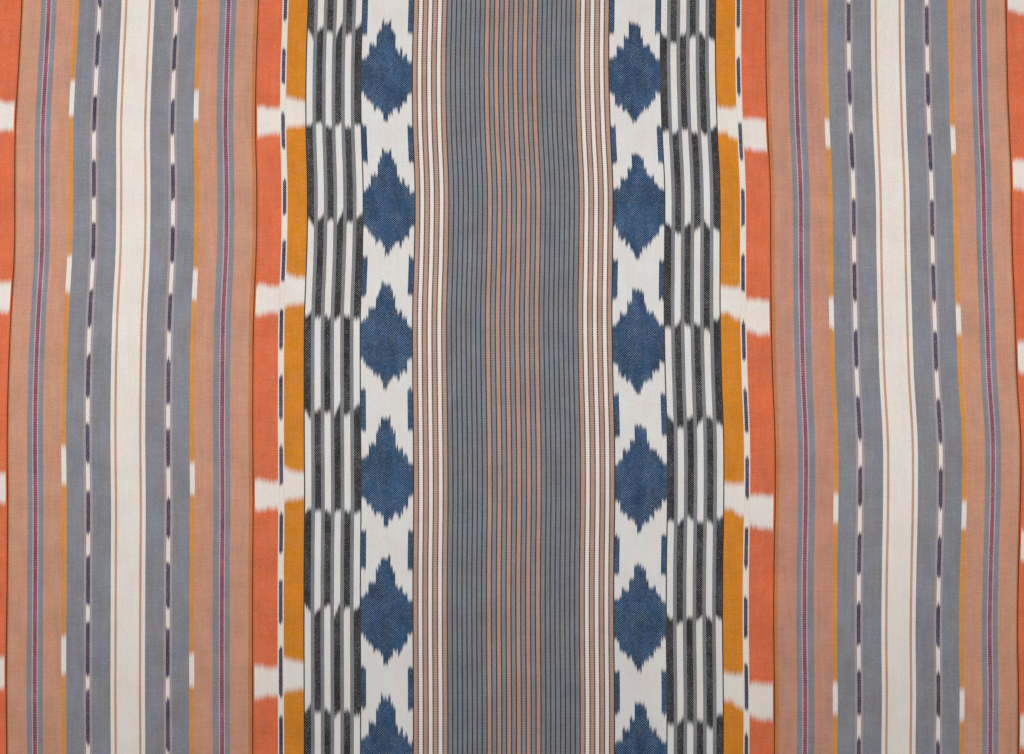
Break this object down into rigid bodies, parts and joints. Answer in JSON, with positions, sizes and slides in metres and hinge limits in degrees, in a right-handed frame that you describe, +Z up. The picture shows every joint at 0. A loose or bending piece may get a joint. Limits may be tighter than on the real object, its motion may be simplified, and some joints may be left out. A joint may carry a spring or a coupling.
{
  "type": "ikat woven cloth",
  "caption": "Cut length of striped warp ikat cloth, lying face up and almost flat, with low soft ridges and slightly lifted corners.",
  "frame": {"origin": "on the surface the cloth lies on, under the middle of its box", "axes": "+Z up out of the surface, +Y along the warp and the stripes, +X across the warp"},
  "size_m": [0.5538, 0.4041, 0.0054],
  "materials": {
    "woven_cotton": "matt plain weave cotton with dyed warp stripes"
  },
  "bodies": {
    "root": {"cloth": "woven_cotton"}
  },
  "joints": []
}
